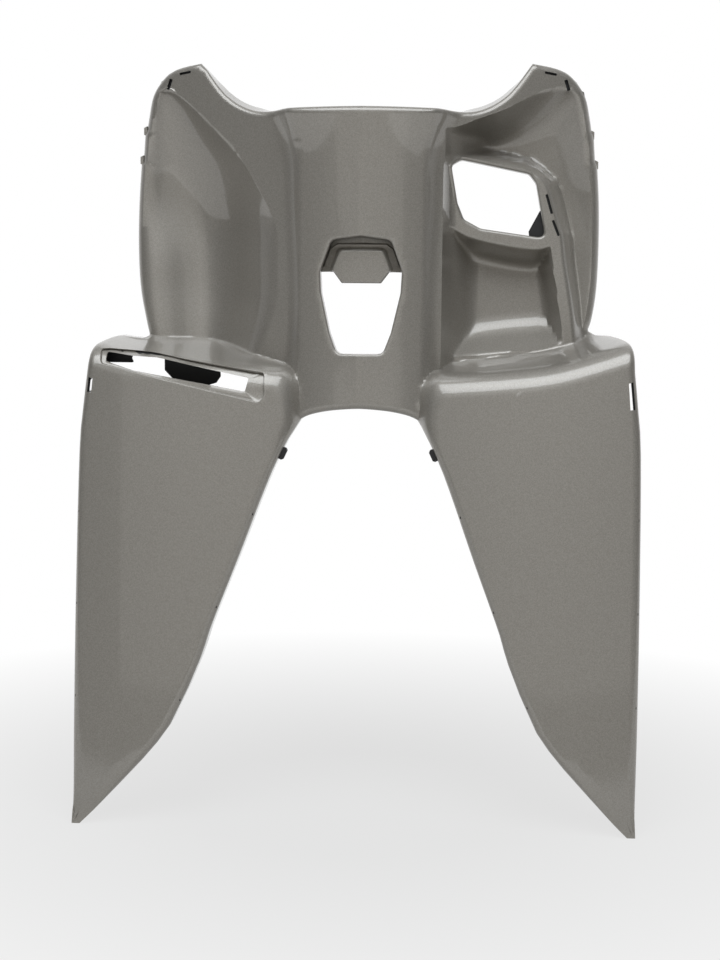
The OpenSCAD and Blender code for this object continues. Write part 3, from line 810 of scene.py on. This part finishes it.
def addFixings(bm):
    # screw bosses with their pilot bores
    outer, bore = size["bossWidth"] / 2, size["pilotWidth"] / 2
    turns = np.linspace(0, 2 * math.pi, 40, endpoint=False)
    for x, z in bossPlaces:
        end = float(faceY(np.array(float(x)), np.array(float(z)))) + size["bossLength"]
        around = [float(faceY(np.array(x + outer * math.cos(a)), np.array(z + outer * math.sin(a))))
                  for a in turns]
        levels = [(outer, max(around) + 0.6), (outer, end - 0.5), (outer - 0.5, end), (bore + 0.3, end),
                  (bore, end - 0.3), (bore, end - size["pilotDepth"])]
        stack(bm, [[(x + r * math.cos(a), y, z + r * math.sin(a)) for a in turns] for r, y in levels], 1)
    # ribs behind the wings and the column
    for side in (-1, 1):
        for z in (110, 190, 270):
            a, b = edgeAt(z, side, wingHeel + wingInner), edgeAt(z, side, wingOuter)
            inner, outerEnd = (max(abs(a) + 1.5, 70) * side, min(abs(b) - 1.5, 246) * side)
            addRib(bm, [(inner, z), (outerEnd, z)], "x")
        addRib(bm, [(side * 24, 518), (side * 24, 616)], "z")
    # lug on the inner edge of each wing
    y = float(faceY(np.array(72.0), np.array(320.0)))
    n = size["lugLength"]
    c, s = math.cos(math.radians(-65)), math.sin(math.radians(-65))
    for side in (-1, 1):
        shape = [(0, 2), (n, 2), (n, -1.4), (n - 1.5, -3), (1.5, -3), (0, -1.4)]
        turned = [(side * (64.5 + a * c - b * s), 327 + a * s + b * c) for a, b in shape]
        plate(bm, turned, y + 6, y + 13, 1, 0.3)
    # bracket and bay plate behind the slot, gusset in the pocket opening's corner
    plate(bm, rounded([(-178, 407.5), (-178, 392), (-170, 383.5), (-141, 378), (-131, 381), (-127, 387),
                       (-128, 399)], 2, 3), -56, -53.4, 1)
    plate(bm, rounded([(-229, 399), (-229, 409), (-207, 408), (-204.5, 406), (-206, 403),
                       (-204, 399)], 2, 3), -66, -63.4, 1)
    plate(bm, rounded([(164, 541), (158.6, 538), (148.8, 519.5), (149.3, 515.5), (155, 512),
                       (166, 511)], 1.2, 3), -12, -9.4, 1)
    # clips that show at the lobes' sides
    for x, z in ((-207.7, 610.3), (-211.4, 583.7), (207.2, 608.1), (211.7, 581.4)):
        side = math.copysign(1, x)
        y = float(faceY(np.array(x), np.array(z)))
        shape = [(x - side * 2, z - 4.5), (x + side * 1.1, z - 3.5),
                 (x + side * 1.1, z + 3), (x - side * 2, z + 4.5)]
        plate(bm, shape, y + 1, y + 10, 0, 0.3)


def finishMesh(bm, name, materials, angle=38):
    mesh = bpy.data.meshes.new(name)
    bm.to_mesh(mesh)
    bm.free()
    for m in materials:
        mesh.materials.append(m)
    mesh.shade_smooth()
    mesh.set_sharp_from_angle(angle=math.radians(angle))
    obj = bpy.data.objects.new(name, mesh)
    bpy.context.scene.collection.objects.link(obj)
    return obj


# ---- materials

def addNode(tree, kind, settings=None, links=None):
    node = tree.nodes.new(kind)
    for key, value in (settings or {}).items():
        if key in node.inputs:
            node.inputs[key].default_value = value
        else:
            setattr(node, key, value)
    for key, source in (links or {}).items():
        tree.links.new(source, node.inputs[key])
    return node


def newMaterial(name):
    material = bpy.data.materials.new(name)
    material.use_nodes = True
    tree = material.node_tree
    tree.nodes.clear()
    return material, tree


lacquerLook = {"dark": "8b8780", "pale": "a19d95", "flakeScale": 1500.0, "metallic": 0.45,
               "roughness": 0.46, "ior": 1.5, "coatRoughness": 0.06, "bump": 0.06, "bumpDepth": 0.0004}


def pearlLacquer():
    # two-coat pearl metallic on moulded plastic: a soft taupe body with fine flakes under clear gloss
    material, tree = newMaterial("pearl metallic lacquer")
    coords = addNode(tree, "ShaderNodeTexCoord")
    flakes = addNode(tree, "ShaderNodeTexVoronoi", {"Scale": lacquerLook["flakeScale"]},
                     {"Vector": coords.outputs["Object"]})
    bright = addNode(tree, "ShaderNodeValToRGB", {}, {"Fac": flakes.outputs["Color"]})
    ramp = bright.color_ramp
    ramp.elements[0].color, ramp.elements[1].color = srgb(lacquerLook["dark"]), srgb(lacquerLook["pale"])
    bump = addNode(tree, "ShaderNodeBump",
                   {"Strength": lacquerLook["bump"], "Distance": lacquerLook["bumpDepth"]},
                   {"Height": flakes.outputs["Distance"]})
    shader = addNode(tree, "ShaderNodeBsdfPrincipled",
                     {"Metallic": lacquerLook["metallic"], "Roughness": lacquerLook["roughness"],
                      "IOR": lacquerLook["ior"], "Coat Weight": 1.0,
                      "Coat Roughness": lacquerLook["coatRoughness"], "Coat IOR": lacquerLook["ior"]},
                     {"Base Color": bright.outputs["Color"], "Normal": bump.outputs["Normal"]})
    addNode(tree, "ShaderNodeOutputMaterial", {}, {"Surface": shader.outputs["BSDF"]})
    return material


plasticLook = {"colour": "1c1c1d", "grainScale": 1400.0, "roughness": 0.5, "ior": 1.49,
               "bump": 0.12, "bumpDepth": 0.0003}


def blackPlastic():
    # unpainted moulded plastic, seen behind the panel: near black, satin, with a faint spark-erosion grain
    material, tree = newMaterial("bare moulded black plastic")
    coords = addNode(tree, "ShaderNodeTexCoord")
    grain = addNode(tree, "ShaderNodeTexNoise", {"Scale": plasticLook["grainScale"], "Detail": 2.0},
                    {"Vector": coords.outputs["Object"]})
    bump = addNode(tree, "ShaderNodeBump",
                   {"Strength": plasticLook["bump"], "Distance": plasticLook["bumpDepth"]},
                   {"Height": grain.outputs["Fac"]})
    shader = addNode(tree, "ShaderNodeBsdfPrincipled",
                     {"Base Color": srgb(plasticLook["colour"]), "Roughness": plasticLook["roughness"],
                      "IOR": plasticLook["ior"]},
                     {"Normal": bump.outputs["Normal"]})
    addNode(tree, "ShaderNodeOutputMaterial", {}, {"Surface": shader.outputs["BSDF"]})
    return material


# ---- camera first, at the photograph's angle

photoView = {"azimuth": 3.315, "elevation": 6.856, "roll": 0.509, "distance": 1.5037,
             "target": (0.0, -60, 295.2), "focal": 62.5}


def addCamera():
    a, e = math.radians(photoView["azimuth"]), math.radians(photoView["elevation"])
    back = Vector((math.sin(a) * math.cos(e), -math.cos(a) * math.cos(e), math.sin(e)))
    data = bpy.data.cameras.new("photoCamera")
    data.sensor_width, data.lens = 36, photoView["focal"]
    data.clip_start, data.clip_end = 0.05, 50
    camera = bpy.data.objects.new("photoCamera", data)
    bpy.context.scene.collection.objects.link(camera)
    camera.location = toFrame(*photoView["target"]) + back * photoView["distance"]
    look = (-back).to_track_quat("-Z", "Y").to_matrix()
    right, up = look.col[0], look.col[1]
    r = math.radians(photoView["roll"])
    newRight, newUp = right * math.cos(r) + up * math.sin(r), up * math.cos(r) - right * math.sin(r)
    look.col[0], look.col[1] = newRight, newUp
    camera.rotation_mode = "QUATERNION"
    camera.rotation_quaternion = look.to_quaternion()
    bpy.context.scene.camera = camera


# ---- light, floor and background

backdrop = {"floor": "8c8c8a", "floorHalf": 6, "floorGap": 0.0005, "fadeStart": 0.62, "fadeEnd": 0.95,
            "whiteNear": 0.72, "room": "e2cfb4", "roomStrength": 0.06, "riderSide": 0.08, "farSide": 0.8}

# name: place, aim, size, watts, colour
studioLamps = {
    "ceilingSoftbox": ((0.0, -1.6, 2.6), (0, -0.2, -0.3), (4.2, 2.4), 125, "f4f8fd"),
    "frontSoftbox": ((0.15, -2.1, 0.3), (0, 0, -0.3), (2.6, 1.4), 5, "fffbf5"),
    "tubeNearCamera": ((-0.03, -1.75, 0.45), (0, 0, 0), (0.012, 0.5), 0.12, "ffffff"),
}

def addArea(name, place, aim, extent, power, colour):
    data = bpy.data.lights.new(name, "AREA")
    data.shape, data.size, data.size_y = "RECTANGLE", extent[0], extent[1]
    data.energy, data.color = power, srgb(colour)[:3]
    lamp = bpy.data.objects.new(name, data)
    lamp.location = place
    lamp.visible_camera = False
    lamp.rotation_mode = "QUATERNION"
    lamp.rotation_quaternion = (Vector(aim) - Vector(place)).to_track_quat("-Z", "Y")
    bpy.context.scene.collection.objects.link(lamp)


def addFloor():
    # pale floor under the wing tips: it keeps the shadow near the panel and turns white further away
    material, tree = newMaterial("pale floor")
    path, place = addNode(tree, "ShaderNodeLightPath"), addNode(tree, "ShaderNodeNewGeometry")
    away = addNode(tree, "ShaderNodeVectorMath", {"operation": "LENGTH"})
    tree.links.new(place.outputs["Position"], away.inputs[0])
    fade = addNode(tree, "ShaderNodeMapRange",
                   {"From Min": backdrop["fadeStart"], "From Max": backdrop["fadeEnd"],
                    "To Min": backdrop["whiteNear"], "To Max": 1.0},
                   {"Value": away.outputs["Value"]})
    seen = addSeen(tree, path)
    share = addNode(tree, "ShaderNodeMath", {"operation": "MULTIPLY"})
    tree.links.new(seen.outputs["Value"], share.inputs[0])
    tree.links.new(fade.outputs["Result"], share.inputs[1])
    matt = addNode(tree, "ShaderNodeBsdfDiffuse", {"Color": srgb(backdrop["floor"])})
    white = addNode(tree, "ShaderNodeEmission", {"Color": srgb("ffffff"), "Strength": 1.0})
    both = addNode(tree, "ShaderNodeMixShader", {}, {"Fac": share.outputs["Value"]})
    tree.links.new(matt.outputs["BSDF"], both.inputs[1])
    tree.links.new(white.outputs["Emission"], both.inputs[2])
    addNode(tree, "ShaderNodeOutputMaterial", {}, {"Surface": both.outputs["Shader"]})
    bm = bmesh.new()
    bmesh.ops.create_grid(bm, x_segments=1, y_segments=1, size=backdrop["floorHalf"])
    for v in bm.verts:
        v.co.z = cadBox[0][2] - backdrop["floorGap"]
    floor = finishMesh(bm, "floor", [material])


def addSeen(tree, path):
    # 1 for rays from the camera and for those that a glossy or clear surface passes on
    first = addNode(tree, "ShaderNodeMath", {"operation": "MAXIMUM"})
    both = addNode(tree, "ShaderNodeMath", {"operation": "MAXIMUM"})
    tree.links.new(path.outputs["Is Camera Ray"], first.inputs[0])
    tree.links.new(path.outputs["Is Glossy Ray"], first.inputs[1])
    tree.links.new(first.outputs["Value"], both.inputs[0])
    tree.links.new(path.outputs["Is Transmission Ray"], both.inputs[1])
    return both


def addStudio():
    # white to the camera all round; glossy rays find the rider's side darker, so hollows read as hollows
    world = bpy.data.worlds.new("studio")
    bpy.context.scene.world = world
    world.use_nodes = True
    tree = world.node_tree
    tree.nodes.clear()
    path = addNode(tree, "ShaderNodeLightPath")
    seen = addSeen(tree, path)
    coords = addNode(tree, "ShaderNodeTexCoord")
    parts = addNode(tree, "ShaderNodeSeparateXYZ", {}, {"Vector": coords.outputs["Generated"]})
    shade = addNode(tree, "ShaderNodeMapRange",
                    {"From Min": 0.0, "From Max": backdrop["farSide"],
                     "To Min": backdrop["riderSide"], "To Max": 1.0},
                    {"Value": parts.outputs["Y"]})
    bright = addNode(tree, "ShaderNodeMath", {"operation": "MAXIMUM"})
    tree.links.new(path.outputs["Is Camera Ray"], bright.inputs[0])
    tree.links.new(shade.outputs["Result"], bright.inputs[1])
    room = addNode(tree, "ShaderNodeBackground",
                   {"Color": srgb(backdrop["room"]), "Strength": backdrop["roomStrength"]})
    white = addNode(tree, "ShaderNodeBackground", {"Color": srgb("ffffff")},
                    {"Strength": bright.outputs["Value"]})
    both = addNode(tree, "ShaderNodeMixShader", {}, {"Fac": seen.outputs["Value"]})
    tree.links.new(room.outputs["Background"], both.inputs[1])
    tree.links.new(white.outputs["Background"], both.inputs[2])
    addNode(tree, "ShaderNodeOutputWorld", {}, {"Surface": both.outputs["Shader"]})
    for name, values in studioLamps.items():
        addArea(name, *values)


print("stage: camera and light")
addCamera()
addStudio()
addFloor()

print("stage: panel")
lacquer, plastic = pearlLacquer(), blackPlastic()
panel = finishMesh(buildPanel(), "leg_shield_panel", [lacquer, plastic])
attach(panel, "root")
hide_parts("leg_shield")

bpy.context.scene.view_settings.view_transform = "Standard"
